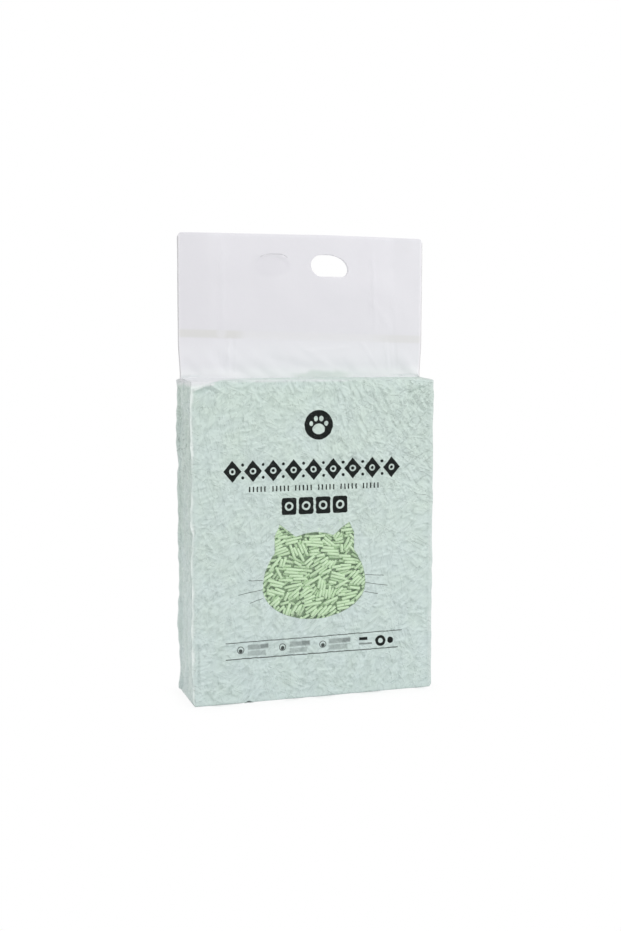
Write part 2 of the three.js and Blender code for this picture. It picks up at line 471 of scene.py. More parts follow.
def weld_tip(z, side_sign, face_sign):
    """How far a corner weld stands out beside the brick at each height."""
    seed = 33 + side_sign + 3 * face_sign
    long_wave = swell(60, 360, 24, seed)
    short_wave = swell(60, 360, 8, seed + 50)
    height = np.clip(z, 0, 350)
    middle = np.full_like(z, 20)
    wave = 0.9 * long_wave(middle, height) + 1.2 * short_wave(middle, height)
    reach = WELD_REACH_LEFT if side_sign < 0 else WELD_REACH_RIGHT
    reach = reach + wave * (1 if side_sign < 0 else 0.5)
    # At the base the weld is folded under
    return HALF_WIDTH - 1 + (reach + 1) * smooth(0.3, 4.0, z)


# Long creases of the drawn film on the front: start and end in X and Z, height and width
FRONT_CREASES = (
    ((-127, 320), (-116, 324.5), 1.7, 1.1),
    ((-116, 324.5), (-106, 326), 1.4, 1.1),
    ((-126, 317), (-112, 322), -1.7, 1.5),
    ((-112, 322), (-103, 316), -1.2, 1.3),
    ((-110, 325), (-99, 318), 1.5, 1.2),
    ((102, 315), (119, 322), -1.7, 1.3),
    ((103, 319), (112, 324), 1.3, 1.6),
    ((111, 313), (121, 298), 1.7, 1.3),
    ((107, 311), (117, 296), -1.4, 1.2),
    ((114, 316), (124, 301), -1.2, 1.1),
    ((62, 318), (71, 303), 0.7, 1.0),
    ((-124.5, 66), (-124.5, 22), -1.1, 0.9),
    ((-121, 178), (-108, 190), -0.9, 1.2),
    ((-66, 95), (-54, 84), 0.4, 1.2),
    ((86, 96), (112, 84), 0.4, 1.2),
)


def creased(x, z, creases):
    """Ridges and grooves along straight lines, fading at their ends."""
    total = np.zeros_like(x)
    for start, end, height, width in creases:
        run, rise = end[0] - start[0], end[1] - start[1]
        length = math.hypot(run, rise)
        along = ((x - start[0]) * run + (z - start[1]) * rise) / length
        aside = ((z - start[1]) * run - (x - start[0]) * rise) / length
        ends = smooth(-0.15, 0.15, along / length) * (1 - smooth(0.85, 1.15, along / length))
        total += height * ends * np.exp(-(aside / width) ** 2)
    return total


def front_film(x, y, z, depth, faced, web):
    """Depth and bareness of the front's film, with its creases, its bare upper left corner and a
    painted highlight along the corner's fold.
    """
    over = np.clip(y + HALF_DEPTH - RIM, 0, None)
    corner = bare_corner(x, z, over)
    near_corner = smooth(24, 8, np.hypot(x - CORNER_X, z - CORNER_Z))
    depth = depth * (1 - corner) * (1 - 0.6 * near_corner) - 0.5 * corner
    depth += creased(x, z, FRONT_CREASES) * faced
    # The ridge of the corner's fold is whitened: partly bare film lifted off the pellets, partly a
    # painted highlight
    fold_highlight = np.clip(creased(x, z, FRONT_CREASES[:2]) / 1.5, 0, 0.8)
    return depth, np.maximum(web * (x < 0), np.maximum(corner, fold_highlight))


def top_fold(x, y, z, wave):
    """1 on the white fold along the front's top edge, which wave makes uneven."""
    fold = smooth(BRICK_TOP - 3.2, BRICK_TOP - 1.8, z) * smooth(-105, -70, x) * smooth(60, 5, x)
    fold = fold * np.clip(0.75 + 0.5 * wave, 0, 1)
    return fold * (1 - 0.6 * smooth(0, 30, y + HALF_DEPTH))


def panel(name, face_sign, pack, across, along, rows, material):
    """The front or back panel with its corner welds."""
    is_front = face_sign < 0
    creasing = swell(PANEL_FIELD, 420, 7, 17 + face_sign)
    rolling = swell(PANEL_FIELD, 430, 34, 8)
    edging = swell(PANEL_FIELD, 420, 13, 27 + face_sign)
    lap = 0.05 if is_front else 0.25

    def shape(p, q):
        side = (2 * p - 1) * -face_sign
        flat_x = side * HALF_WIDTH
        drop = rim_drop(flat_x) if is_front else BACK_DROP * rim_drop(flat_x)
        y, z, normal_y, normal_z, run, faced = panel_path(q, face_sign, drop, rows)

        # The outermost columns reach past the brick as the weld
        weld_width = np.where(flat_x < 0, WELD_LEFT, WELD_RIGHT)
        tips = np.where(side < 0, weld_tip(z, -1, face_sign), weld_tip(z, 1, face_sign))
        edge_wave = edging(np.sign(flat_x) * 60 + PANEL_LEFT, z)
        from_weld = HALF_WIDTH - weld_width - 0.9 * edge_wave - np.abs(flat_x)
        reach = smooth(2.5, -weld_width, from_weld) * (tips - HALF_WIDTH)
        x = flat_x + np.sign(flat_x) * reach

        # How far the film lies out from the flat panel
        held = smooth(0.0, 3.0, from_weld) * (0.25 + 0.75 * smooth(1.5, 8.0, z))
        roll = front_roll(flat_x, run) if is_front else 0.5 * rolling(flat_x + PANEL_LEFT, run)
        relief = RELIEF * pack.relief(flat_x + PACK_EDGE, run)
        depth = relief * (0.45 + 0.55 * faced) * held + roll * held
        depth += -(0.7 + 0.6 * edge_wave) * np.exp(-(from_weld / 0.9) ** 2)
        depth += np.where(from_weld < 0, -0.2 + 0.25 * creasing(flat_x + PANEL_LEFT, run), 0)
        on_top = (1 - faced) * (z > BRICK_TOP / 2)
        web = smooth(1.0, 1.6, drop) * on_top
        if is_front:
            depth, web = front_film(flat_x, y, z, depth, faced, web)
        depth = np.where(normal_z < -0.5, np.minimum(depth, 0) * 0.15 - lap, depth)
        if is_front:
            lifted = np.exp(-((flat_x - LIFT_X) / 2.4) ** 2) * smooth(6, 1, z)
            z = z + LIFT * lifted * smooth(25, 30, -y)
        place = np.stack([x, y + normal_y * depth, z + normal_z * depth], 1)

        # Where no pellet touches the film, which is painted darker there as shade, and where it is
        # white
        touch = pack.contact(flat_x + PACK_EDGE, run)
        whiteness = np.where(flat_x < 0, 0.6, 0.2) * (1 + 0.8 * edge_wave)
        at_weld = smooth(0.3, -0.5, from_weld) * np.clip(whiteness, 0, 0.75)
        at_header = smooth(4.5, 1.5, np.abs(y - HEADER_BACK)) * on_top
        bare = np.maximum(at_weld, np.maximum(web, 0.8 * at_header))
        if is_front:
            bare = np.maximum(bare, 0.7 * top_fold(x, y, z, edging(x + PANEL_LEFT, z)))
            # Painted shade: the film is darker along the grooves of its creases
            touch = touch * (1 - np.clip(-creased(flat_x, z, FRONT_CREASES), 0, 1) * faced)
        # touch falls with held, so the film is also painted darker as shade at its foot and beside
        # the welds
        return place, touch * held, bare

    return sheet(name, across, along, shape, material)


def web_height(y, side_sign):
    """Height of the panels' outer edges over the top of a side."""
    front_drop = DROP_LEFT if side_sign < 0 else DROP_RIGHT
    back_drop = BACK_DROP * front_drop
    header_foot = BRICK_TOP + TOP_STEP
    toward_front = (y + HALF_DEPTH) / (HEADER_BACK + HALF_DEPTH)
    toward_back = (HALF_DEPTH - y) / (HALF_DEPTH - HEADER_BACK)
    front = BRICK_TOP - front_drop + toward_front * (header_foot - BRICK_TOP + front_drop)
    back = BRICK_TOP - back_drop + toward_back * (header_foot - BRICK_TOP + back_drop)
    turned_up = np.clip(1 - np.abs(y - HEADER_BACK) / TOP_FILLET, 0, 1)
    return np.where(y < HEADER_BACK, front, back) + TOP_FILLET * (1 - np.sqrt(1 - turned_up ** 2))


def side_path(q, top):
    """A side's run from under the base to its top: z, how far in it lies, and its top part."""
    base_part, top_part, turn = 0.015, 0.98, 1.0
    over_floor, tucked_under = 0.2, 6
    t = np.clip((q - base_part) / (top_part - base_part), 0, 1)
    below = np.clip(q / base_part, 0, 1)
    above = np.clip((q - top_part) / (1 - top_part), 0, 1)
    angle = (1 - below) * QUARTER
    under = q < base_part
    z = turn + t * (top - RIM - turn)
    z = np.where(under, turn - turn * np.sin(angle) + over_floor, z)
    z = np.where(q > top_part, top - RIM + RIM * above, z)
    inset = turn * (1 - np.cos(angle)) + tucked_under * (1 - below) ** 3
    return z, np.where(under, inset, 0), above


def side_panel(name, side_sign, pack, material):
    """A side of the bag, creased up its middle, between its two corner welds."""
    across, along = 72, 340
    crease_depth, crease_width = 1.1, 2.2
    rolling = swell(2 * SIDE_LEFT, 420, 26, 50 + side_sign)
    streaks = swell(2 * SIDE_LEFT, 80, 5, 60 + side_sign)

    def shape(p, q):
        # p runs from the back weld to the front one on the left, and the other way on the right
        y = (2 * p - 1) * HALF_DEPTH * side_sign
        top = web_height(y, side_sign) - 0.2
        z, inset, above = side_path(q, top)
        edge = HALF_DEPTH - np.abs(y)
        held = smooth(0.5, 5.0, edge) * (1 - above) * (0.15 + 0.85 * smooth(2, 10, z))
        relief = pack.relief(y + HALF_DEPTH, np.clip(z, 0, BRICK_TOP))
        relief = relief * (0.6 + 0.4 * smooth(60, 180, z))
        touch = pack.contact(y + HALF_DEPTH, np.clip(z, 0, BRICK_TOP))

        # The edges follow the turns of the front and back at the base and the top
        in_top = np.clip(z - (top - RIM), 0, RIM)
        in_foot = np.clip(FOOT_RIM - z, 0, FOOT_RIM)
        turned_in = RIM - np.sqrt(RIM ** 2 - in_top ** 2)
        turned_in += FOOT_RIM - np.sqrt(FOOT_RIM ** 2 - in_foot ** 2)
        y = y * (1 - turned_in / HALF_DEPTH)

        from_crease = np.abs(y - 2 - 1.5 * np.sin(z / 60))
        crease = -crease_depth * np.exp(-from_crease / crease_width)
        x = HALF_WIDTH - 0.4 + (relief * 0.9 + crease) * held
        x += (0.6 * rolling(y + SIDE_LEFT, z) + 0.35 * streaks(y + SIDE_LEFT, z * 0.15)) * held
        x -= 0.4 * smooth(0, 4, edge) * (1 - smooth(4, 14, edge)) * (1 - above)
        tips = np.where(y < 0, weld_tip(z, side_sign, -1), weld_tip(z, side_sign, 1))
        at_weld = np.maximum(1 - smooth(0, 2.0, edge), above)
        x = x * (1 - at_weld) + tips * at_weld - inset
        depth_in = np.sign(y) * 0.3 * at_weld * (1 - above)
        place = np.stack([x * side_sign, y - depth_in, z], 1)

        at_edge = 0.6 * (1 - smooth(0.3, 1.3, edge)) * (side_sign < 0)
        at_top = 0.85 * smooth(top - 9, top - 4, z) * (side_sign < 0)
        bare = np.maximum(np.maximum(at_edge, 0.3 * above), at_top)
        # touch falls with held, so the sides are also painted darker as shade at the foot, the edges
        # and the top
        return place, touch * held, bare

    return sheet(name, across, along, shape, material)


# Header

def seal_height(x):
    """Middle of the heat seal at x, above the base."""
    t = (x + HEADER_SIDE) / (2 * HEADER_SIDE)
    return BRICK_TOP + SEAL_LEFT + (SEAL_RIGHT - SEAL_LEFT) * t


# Folds and creases of the header: start and end in X and Z, height towards the front and width
HEADER_CREASES = (
    ((-88, 470), (-86, 380), 0.35, 3.0),
    ((-80, 374), (-82, 336), 0.45, 1.6),
    ((-76, 374), (-77, 336), -0.35, 1.6),
    ((76, 460), (80, 384), 0.3, 2.5),
    ((100, 420), (104, 380), 0.3, 3.0),
    ((62, 372), (84, 338), 0.2, 2.2),
    ((92, 370), (95, 338), 0.35, 1.8),
    ((102, 370), (104, 338), -0.3, 1.6),
    ((-4, 364), (46, 333), 0.3, 3.5),
    ((74, 412), (97, 384), 0.4, 3.6),
    ((6, 358), (50, 362), 0.15, 2.2),
    ((-40, 352), (10, 340), -0.4, 4.0),
)


def egg_outline(points_a_quarter):
    """The hole's outline: four elliptic quarters joined by its flats."""
    quarters = (
        (HOLE_TOP_FLAT[1], HOLE_RIGHT_END, HOLE_RIGHT, HOLE_UP, 90),
        (HOLE_BOTTOM_FLAT[1], HOLE_RIGHT_END, HOLE_RIGHT, -HOLE_DOWN, 0),
        (HOLE_BOTTOM_FLAT[0], HOLE_LEFT_END, -HOLE_LEFT, -HOLE_DOWN, -90),
        (HOLE_TOP_FLAT[0], HOLE_LEFT_END, -HOLE_LEFT, HOLE_UP, -180),
    )
    outline = []
    for middle_x, middle_z, end_x, end_z, first in quarters:
        for k in range(points_a_quarter):
            angle = math.radians(first - 90 * k / points_a_quarter)
            x = middle_x + abs(end_x - middle_x) * math.cos(angle)
            z = middle_z + abs(end_z - middle_z) * math.sin(angle)
            outline.append((x, z))
    return outline


def egg_level(x, z):
    """Below 1 inside the oval that fits the hole."""
    return np.sqrt((x / HOLE_LEFT) ** 2 + (z / HOLE_UP) ** 2)


def prism(name, outline, middle_x, middle_z):
    """A cutter through the header with that outline."""
    depth = 9
    front = [(middle_x + x, HEADER_BACK - depth, middle_z + z) for x, z in outline]
    back = [(middle_x + x, HEADER_BACK + depth, middle_z + z) for x, z in outline]
    count = len(outline)
    mesh = bpy.data.meshes.new(name)
    sides = [(k, (k + 1) % count, count + (k + 1) % count, count + k) for k in range(count)]
    caps = [tuple(range(count))[::-1], tuple(range(count, 2 * count))]
    places = [tuple(value * MM for value in place) for place in front + back]
    mesh.from_pydata(places, [], sides + caps)
    mesh.validate()
    cutter = bpy.data.objects.new(name, mesh)
    bpy.context.collection.objects.link(cutter)
    turn_outward(cutter)
    return cutter


def punch(piece, cutter):
    """Cuts the cutter's shape out of the piece, and removes the cutter."""
    cut = piece.modifiers.new("punch", "BOOLEAN")
    cut.operation = "DIFFERENCE"
    cut.solver = "EXACT"
    cut.object = cutter
    pick(piece)
    bpy.ops.object.modifier_apply(modifier=cut.name)
    bpy.data.objects.remove(cutter)


def tab_cut(outline):
    """A narrow slit along the tab's outline, open over its top and sides."""
    slit = 0.09
    upper = [(x, z) for x, z in outline if z > 7.5]
    upper.sort(key=lambda spot: spot[0])
    outer = [(x * (1 + slit / HOLE_LEFT), z * (1 + slit / HOLE_UP)) for x, z in upper]
    inner = [(x * (1 - slit / HOLE_LEFT), z * (1 - slit / HOLE_UP)) for x, z in upper]
    return outer + inner[::-1]


# Columns of each face and each half of a tuck round the header's section
FACE_COLUMNS, TUCK_COLUMNS = 166, 20
SECTION = (FACE_COLUMNS, TUCK_COLUMNS, TUCK_COLUMNS) * 2


def tube_section(p, side):
    """X round the flattened tube, and the layer, from -1.5 in front to 1.5 at the back.

    The front face comes first, then the right tuck in and out, the back face and the left tuck.
    """
    corner = np.cumsum((0,) + SECTION) / sum(SECTION)
    tucked = side - TUCK
    x = np.empty_like(p)
    layer = np.empty_like(p)
    for k, level in enumerate((-1.5, -0.5, 0.5, 1.5, 0.5, -0.5)):
        on = (p >= corner[k]) & (p <= corner[k + 1])
        t = (p - corner[k]) / (corner[k + 1] - corner[k])
        to_right = (2 * t - 1) * side
        inward = side + (tucked - side) * t
        outward = tucked + (side - tucked) * t
        place = (to_right, inward, outward)[k % 3] * (1 if k < 3 else -1)
        x[on] = place[on]
        layer[on] = level
    # Neighbouring layers meet in a narrow fold
    for middle, level in zip(corner, (-1.0, -1.0, 0.0, 1.0, 1.0, 0.0, -1.0)):
        near = np.clip(1 - np.abs(p - middle) * sum(SECTION) / 1.2, 0, 1)
        layer = layer * (1 - near) + level * near
    return x, layer


def header_film(material):
    """The header: a flattened tube of film with its sides tucked in between the two faces."""
    ripple = swell(HEADER_FIELD, 180, 30, 71)
    fine = swell(HEADER_FIELD, 180, 12, 72)
    spread = swell(HEADER_FIELD, 180, 38, 73)
    top_wave = swell(HEADER_FIELD, 20, 45, 74)
    foot = BRICK_TOP + TOP_STEP - FOOT_SUNK
    rows = 94

    def shape(p, q):
        z = foot + q * (HEADER_TOP - foot)
        widened = smooth(BRICK_TOP, BRICK_TOP + NECK_RISE, z)
        side = HEADER_SIDE - (HEADER_SIDE - NECK_SIDE) * (1 - widened)
        side = side - FOOT_NARROWER * (1 - smooth(BRICK_TOP - 4, BRICK_TOP - 1, z))
        x, layer = tube_section(p, side)

        # The top edge bows a little, and its corners are round
        from_side = side - np.abs(x)
        rounding = np.clip(TOP_CORNER - from_side, 0, TOP_CORNER)
        lower = TOP_CORNER - np.sqrt(TOP_CORNER ** 2 - rounding ** 2)
        bow = 0.8 * (1 - (x / HEADER_SIDE) ** 2)
        lower = lower + 0.3 - bow + 0.3 * top_wave(x + HEADER_LEFT, np.full_like(x, 10))
        z = z - lower * np.clip((q - 0.6) / 0.4, 0, 1)

        # The layers stand apart but for the heat seal
        above_seal = z - seal_height(x)
        at_seal = np.exp(-(above_seal / SEAL_PRESSED) ** 4)
        loose_top = smooth(4, 60, above_seal)
        loose_neck = smooth(4, 34, -above_seal)
        middle = 1 - smooth(side - TUCK - 30, side, np.abs(x))
        gap = LAYER_GAP + 0.30 * loose_top + 0.5 * loose_neck * middle
        gap += loose_top * middle * 0.35 * (1 + spread(x + HEADER_LEFT, z - BRICK_TOP))
        gap = gap * (1 - at_seal) + SEAL_GAP * at_seal
        y = HEADER_BACK + layer * gap

        # Waves and creases
        up = np.clip(z - BRICK_TOP, 0, None)
        y += 1.1 * ripple(x + HEADER_LEFT, up) * loose_top * (1 - at_seal)
        neck_wave = fine(x + HEADER_LEFT + 0.6 * up, up * 0.35)
        y += 0.9 * neck_wave * loose_neck * (1 - at_seal) * smooth(0, 8, up)
        y -= creased(x, z, HEADER_CREASES) * (1 - 0.8 * at_seal)

        # The tab that is still in its cut leans back a little
        tab = egg_level(x - TAB_X, z - TAB_Z)
        y += 0.6 * (1 - smooth(0.8, 1.0, tab)) * smooth(-8, 9, z - TAB_Z)

        # In the header touch marks its side folds
        folded = smooth(2.2, 0.4, from_side)
        return np.stack([x, y, z], 1), folded, np.ones_like(p)

    piece = sheet("header_film", sum(SECTION), rows, shape, material)
    turn_outward(piece, merged=0.02)
    outline = egg_outline(points_a_quarter=14)
    punch(piece, prism("hole_cutter", outline, HOLE_X, HOLE_Z))
    mirrored = [(-x, z) for x, z in outline]
    punch(piece, prism("tab_cutter", tab_cut(mirrored), TAB_X, TAB_Z))
    return piece


# Shader maths

class Paint:
    """A node socket that takes arithmetic, so that a mask is written as a formula."""

    def __init__(self, tree, socket=None):
        self.tree = tree
        self.socket = socket

    def node(self, kind, settings=None, sockets=None, output=0):
        """A node of that kind, with its settings and its sockets' values or links."""
        made = self.tree.nodes.new("ShaderNode" + kind)
        for name, value in (settings or {}).items():
            setattr(made, name, value)
        for name, value in (sockets or {}).items():
            if isinstance(value, Paint):
                self.tree.links.new(value.socket, made.inputs[name])
            else:
                made.inputs[name].default_value = value
        return Paint(self.tree, made.outputs[output] if made.outputs else None)

    def noise(self, spot, scale, detail, distortion=0.0):
        """Soft noise of about 0.3 to 0.7. scale is in waves a metre."""
        return self.node("TexNoise", sockets={"Vector": spot, "Scale": scale, "Detail": detail,
                                              "Distortion": distortion})

    def stored(self, name):
        """A value that the mesh holds at its points."""
        return self.node("Attribute", {"attribute_name": name}, output=2)

    def bump(self, strength, distance):
        """The slopes of a surface that stands out by this times distance, in metres."""
        return self.node("Bump", sockets={"Height": self, "Strength": strength,
                                          "Distance": distance})

    def maths(self, operation, *values):
        return self.node("Math", {"operation": operation}, dict(enumerate(values)))

    def __add__(self, other):
        return self.maths("ADD", self, other)

    __radd__ = __add__

    def __sub__(self, other):
        return self.maths("SUBTRACT", self, other)

    def __rsub__(self, other):
        return self.maths("SUBTRACT", other, self)

    def __mul__(self, other):
        return self.maths("MULTIPLY", self, other)

    __rmul__ = __mul__

    def __truediv__(self, other):
        return self.maths("DIVIDE", self, other)

    def __abs__(self):
        return self.maths("ABSOLUTE", self)

    def low(self, other):
        return self.maths("MINIMUM", self, other)

    def high(self, other):
        return self.maths("MAXIMUM", self, other)

    def root(self):
        return self.maths("SQRT", self)

    def ramp(self, start, end):
        """0 below start and 1 above end, or the other way round where end is lower."""
        if end >= start:
            limits = {"From Min": start, "From Max": end, "To Min": 0.0, "To Max": 1.0}
        else:
            limits = {"From Min": end, "From Max": start, "To Min": 1.0, "To Max": 0.0}
        return self.node("MapRange", {"interpolation_type": "SMOOTHSTEP"}, {"Value": self, **limits})

    def mix(self, first, second):
        """The first colour where this is 0 and the second where it is 1."""
        return self.node("Mix", {"data_type": "RGBA"}, {0: self, 6: first, 7: second}, output=2)


def new_material(name):
    material = bpy.data.materials.new(name)
    material.use_nodes = True
    material.node_tree.nodes.clear()
    return material, Paint(material.node_tree)


def end_in_surface(paint, sockets):
    """Ends a material in the surface that these sockets describe."""
    surface = paint.node("BsdfPrincipled", sockets=sockets)
    paint.node("OutputMaterial", sockets={"Surface": surface})


def place_in_mm(paint):
    """X, Y and Z of the surface in millimetres, and the plain coordinates."""
    spot = paint.node("TexCoord", output=3)
    parts = paint.node("SeparateXYZ", sockets={0: spot})
    x, y, z = (Paint(paint.tree, parts.socket.node.outputs[i]) for i in range(3))
    return x * 1000, y * 1000, z * 1000, spot


def film_skin(paint, x, z, spot, gathers=0.0):
    """Colour and bump of milky film drawn over pellets, with painted shade where no pellet touches
    it, between its fine creases and in its gathers. gathers is the depth of the gathers and of their
    painted shade.
    """
    touch, bare = paint.stored("touch"), paint.stored("bare")
    patches = paint.noise(spot, 45.0, 3.0)
    green = (patches * 0.9 - 0.1 + z.ramp(0, BRICK_TOP) * 0.3).ramp(0, 1)
    wrinkle = fine_creases(paint, spot)
    # Painted shade: darker where no pellet touches the film and between the fine creases
    crease = (1 - touch) * 0.18 + (1 - wrinkle) * 0.10
    drawn = (pellet_strokes(paint, x, z, spot) + wrinkle * 0.3) * (1 - bare * 0.7)
    if gathers:
        gather = upright_gathers(paint, spot)
        # Painted shade in the gathers
        crease = crease + (gather - 0.5) * gathers
        drawn = (drawn - gather * gathers) * (z.ramp(30, 300) * 0.9 + 0.75)
    else:
        drawn = drawn * (x.ramp(0, 70) * z.ramp(170, 240) * 0.35 + 1)
    colour = green.mix(FILM_BLUE, FILM_GREEN)
    colour = crease.high(0).mix(colour, FILM_PAINTED_SHADE)
    white = z.ramp(BRICK_TOP - 9, BRICK_TOP - 2).mix(FILM_BARE, FILM_TOP)
    # Painted light: the film turned up against the header takes the header foot's paler colour
    white = z.ramp(BRICK_TOP + 1.4, BRICK_TOP + 2.4).mix(white, FOOT_PAINTED_LIGHT)
    return bare.mix(colour, white), drawn.bump(1.0, 0.0015)


def upright_gathers(paint, spot):
    """Fine upright gathers, as where the sides are creased up their middle."""
    drawn_up = paint.node("Mapping", {"vector_type": "TEXTURE"},
                          {"Vector": spot, "Scale": (1.0, 1.0, 7.0)})
    return paint.noise(drawn_up, 260.0, 2.0)


def turned_along(paint, spot, turn, stretch, shift):
    """Coordinates of a front that make a pattern longer by stretch at turn degrees from level."""
    return paint.node("Mapping", {"vector_type": "TEXTURE"},
                      {"Vector": spot, "Rotation": (0.0, -math.radians(turn), 0.0),
                       "Scale": stretch, "Location": (shift, 0, 0)})


# Directions of the pellets that press through the film, in degrees from level
STROKE_TURNS = (38, 2, -56)


def pellet_strokes(paint, x, z, spot):
    """Height of pellets that lie side by side, in bundles with a direction of their own."""
    where = paint.noise(spot, 36.0, 1.0)
    where = where + x.ramp(-60, 30) * z.ramp(170, 240) * 0.13
    shares = (where.ramp(0.50, 0.46), where.ramp(0.46, 0.50) * where.ramp(0.60, 0.56),
              where.ramp(0.56, 0.60))
    total = None
    for turn, share in zip(STROKE_TURNS, shares):
        turned = turned_along(paint, spot, turn, (3.6, 1.0, 1.0), turn)
        noise = paint.noise(turned, 280.0, 0.3, 0.3)
        total = noise * share if total is None else total + noise * share
    return total


# Directions that the film's fine creases take, in degrees from level
CREASE_TURNS = (-24, 38, -78, 52)


def fine_creases(paint, spot):
    """Thin creases of drawn film, 1 on a crease and 0 between: ridged noise drawn out long."""
    total = None
    for turn in CREASE_TURNS:
        turned = turned_along(paint, spot, turn, (4.5, 1.5, 1.0), turn)
        noise = paint.noise(turned, 150.0, 1.0, 0.3)
        where = paint.noise(turned, 24.0, 1.0)
        crease = abs(noise - 0.5).ramp(0.075, 0.0) * where.ramp(0.38, 0.58)
        total = crease if total is None else total.high(crease)
    return total


def window_distance(x, z):
    """Below 0 inside the clear window, about in millimetres."""
    across = abs(x - WINDOW_X)
    up = z - WINDOW_Z
    side = (across / CHEEK) * (across / CHEEK)
    upper = ((side + (up / CROWN) * (up / CROWN)).root() - 1) * CROWN
    lower = ((side + (up / CHIN) * (up / CHIN)).root() - 1) * CHIN
    is_up = up.ramp(-0.5, 0.5)
    head = upper * is_up + lower * (1 - is_up)
    return head.low(ear_distance(across, z))


def line_through(first, second, x, z):
    """Distance to the left of the line from first to second."""
    run, rise = second[0] - first[0], second[1] - first[1]
    length = math.hypot(run, rise)
    return (z - first[1]) * (run / length) - (x - first[0]) * (rise / length)


def ear_distance(across, z):
    """Below 0 inside an ear: an upright side, a steep shoulder and a slope to the crown."""
    side = across - EAR_OUTER
    shoulder = line_through(EAR_TIP, (EAR_OUTER, EAR_SHOULDER), across, z)
    slope = line_through(EAR_INNER, EAR_TIP, across, z)
    return side.high(shoulder).high(slope).high(EAR_NEAREST - across).high(EAR_FOOT - z)


def printed_film():
    """The front panel: milky film with its print and the clear window."""
    material, paint = new_material("printed_film")
    x, y, z, spot = place_in_mm(paint)
    colour, bump = film_skin(paint, x, z, spot)
    on_front = (y * -1).ramp(HALF_DEPTH - 8, HALF_DEPTH - 7)
    wobble = paint.noise(spot, 160.0, 1.0)
    x = x + (wobble - 0.5) * 0.6
    z = z + (0.5 - wobble) * 0.5
    ink = print_marks(x, z) * on_front
    clear = window_distance(x, z).ramp(0.35, -0.35) * on_front
    end_in_surface(paint, {"Base Color": ink.mix(colour, INK), "Alpha": 1 - clear * 0.88,
                           "Normal": bump, "Roughness": FILM_ROUGHNESS,
                           "Specular IOR Level": 0.17})
    return material


def bar(x, z, left, right, low, high, soft=0.25):
    """1 inside an upright rectangle. soft is how far its edges fade in and out."""
    across = (abs(x - (left + right) / 2) - (right - left) / 2).ramp(soft, -soft)
    up = (abs(z - (low + high) / 2) - (high - low) / 2).ramp(soft, -soft)
    return across * up


def disc(x, z, at_x, at_z, radius, stretch=1.0, soft=0.3):
    """1 inside a disc, or an upright oval where stretch isn't 1."""
    dx = (x - at_x) * stretch
    dz = z - at_z
    return ((dx * dx + dz * dz).root() - radius).ramp(soft, -soft)


def stroke(x, z, start, end, width, soft=0.2):
    """1 on a straight stroke from start to end."""
    run, rise = end[0] - start[0], end[1] - start[1]
    length = math.hypot(run, rise)
    along = (x - start[0]) * (run / length) + (z - start[1]) * (rise / length)
    aside = (z - start[1]) * (run / length) - (x - start[0]) * (rise / length)
    on = (abs(along - length / 2) - length / 2).ramp(soft, -soft)
    return on * (abs(aside) - width / 2).ramp(soft, -soft)


def print_marks(x, z):
    """Dark print: a paw in a disc, a row of lozenges, ticks, four blocks, rules and marks."""
    ink = paw_disc(x, z)
    ink = ink.high(lozenge_row(x, z))
    ink = ink.high(tick_row(x, z))
    ink = ink.high(block_row(x, z))
    ink = ink.high(foot_marks(x, z))
    whiskers = (
        ((-71.7, 126.3), (-57.0, 126.0)), ((-82.3, 112.0), (-57.5, 116.4)),
        ((-70.8, 103.1), (-57.0, 107.3)), ((53.8, 126.0), (75.1, 123.9)),
        ((53.9, 117.5), (79.7, 112.8)), ((53.5, 107.9), (68.5, 104.6)),
    )
    for start, end in whiskers:
        ink = ink.high(stroke(x, z, start, end, 0.6) * 0.85)
    return ink


def paw_disc(x, z):
    middle_x, middle_z, field_radius = 3.0, 283.5, 15.2
    pad_radius, pad_fall, pad_stretch, toe_stretch = 5.4, 4.2, 0.82, 1.25
    field = disc(x, z, middle_x, middle_z, field_radius)
    paw = disc(x, z, middle_x, middle_z - pad_fall, pad_radius, pad_stretch)
    for side, rise, radius in ((-8.2, 1.4, 2.5), (-3.0, 6.3, 2.8), (3.0, 6.3, 2.8), (8.2, 1.4, 2.5)):
        paw = paw.high(disc(x, z, middle_x + side, middle_z + rise, radius, toe_stretch))
    return field * (1 - paw)


LOZENGES, LOZENGE_PITCH = 9, 21.4


def lozenge_row(x, z):
    """Lozenges with a round hole, and a small dot between each two."""
    middle_x, middle_z = -2.5, 238.0
    width = LOZENGES * LOZENGE_PITCH
    row = (abs(x - middle_x) - width / 2).ramp(0.1, -0.1)
    cell = x.maths("PINGPONG", x - (middle_x - width / 2) - LOZENGE_PITCH / 2, LOZENGE_PITCH / 2)
    up = abs(z - middle_z)
    half_width, half_height = 9.4, 11.0
    lozenge = (cell / half_width + up / half_height - 1).ramp(0.03, -0.03)
    hole = disc(cell, up, 0, 0, 3.3)
    ring = disc(cell, up, 0, 0, 1.7)
    between = (abs(x - middle_x) - (width / 2 - LOZENGE_PITCH / 4)).ramp(0.1, -0.1)
    dot = disc(cell, up, LOZENGE_PITCH / 2, 6.5, 1.6) * between
    return row * (lozenge * (1 - hole)).high(ring).high(dot)


def tick_row(x, z):
    """Fine upright ticks in six groups."""
    left, right, low, high = -74.4, 72.3, 216.6, 222.2
    groups, pitches_a_group = 6, 6
    pitch = (right - left) / (groups * pitches_a_group)
    row = bar(x, z, left, right, low, high)
    tick = x.maths("PINGPONG", x - (left - pitch / 2), pitch / 2).ramp(pitch * 0.26, pitch * 0.38)
    group = x.maths("PINGPONG", x - left, pitch * pitches_a_group / 2).ramp(1.3, 1.9)
    return row * tick * group


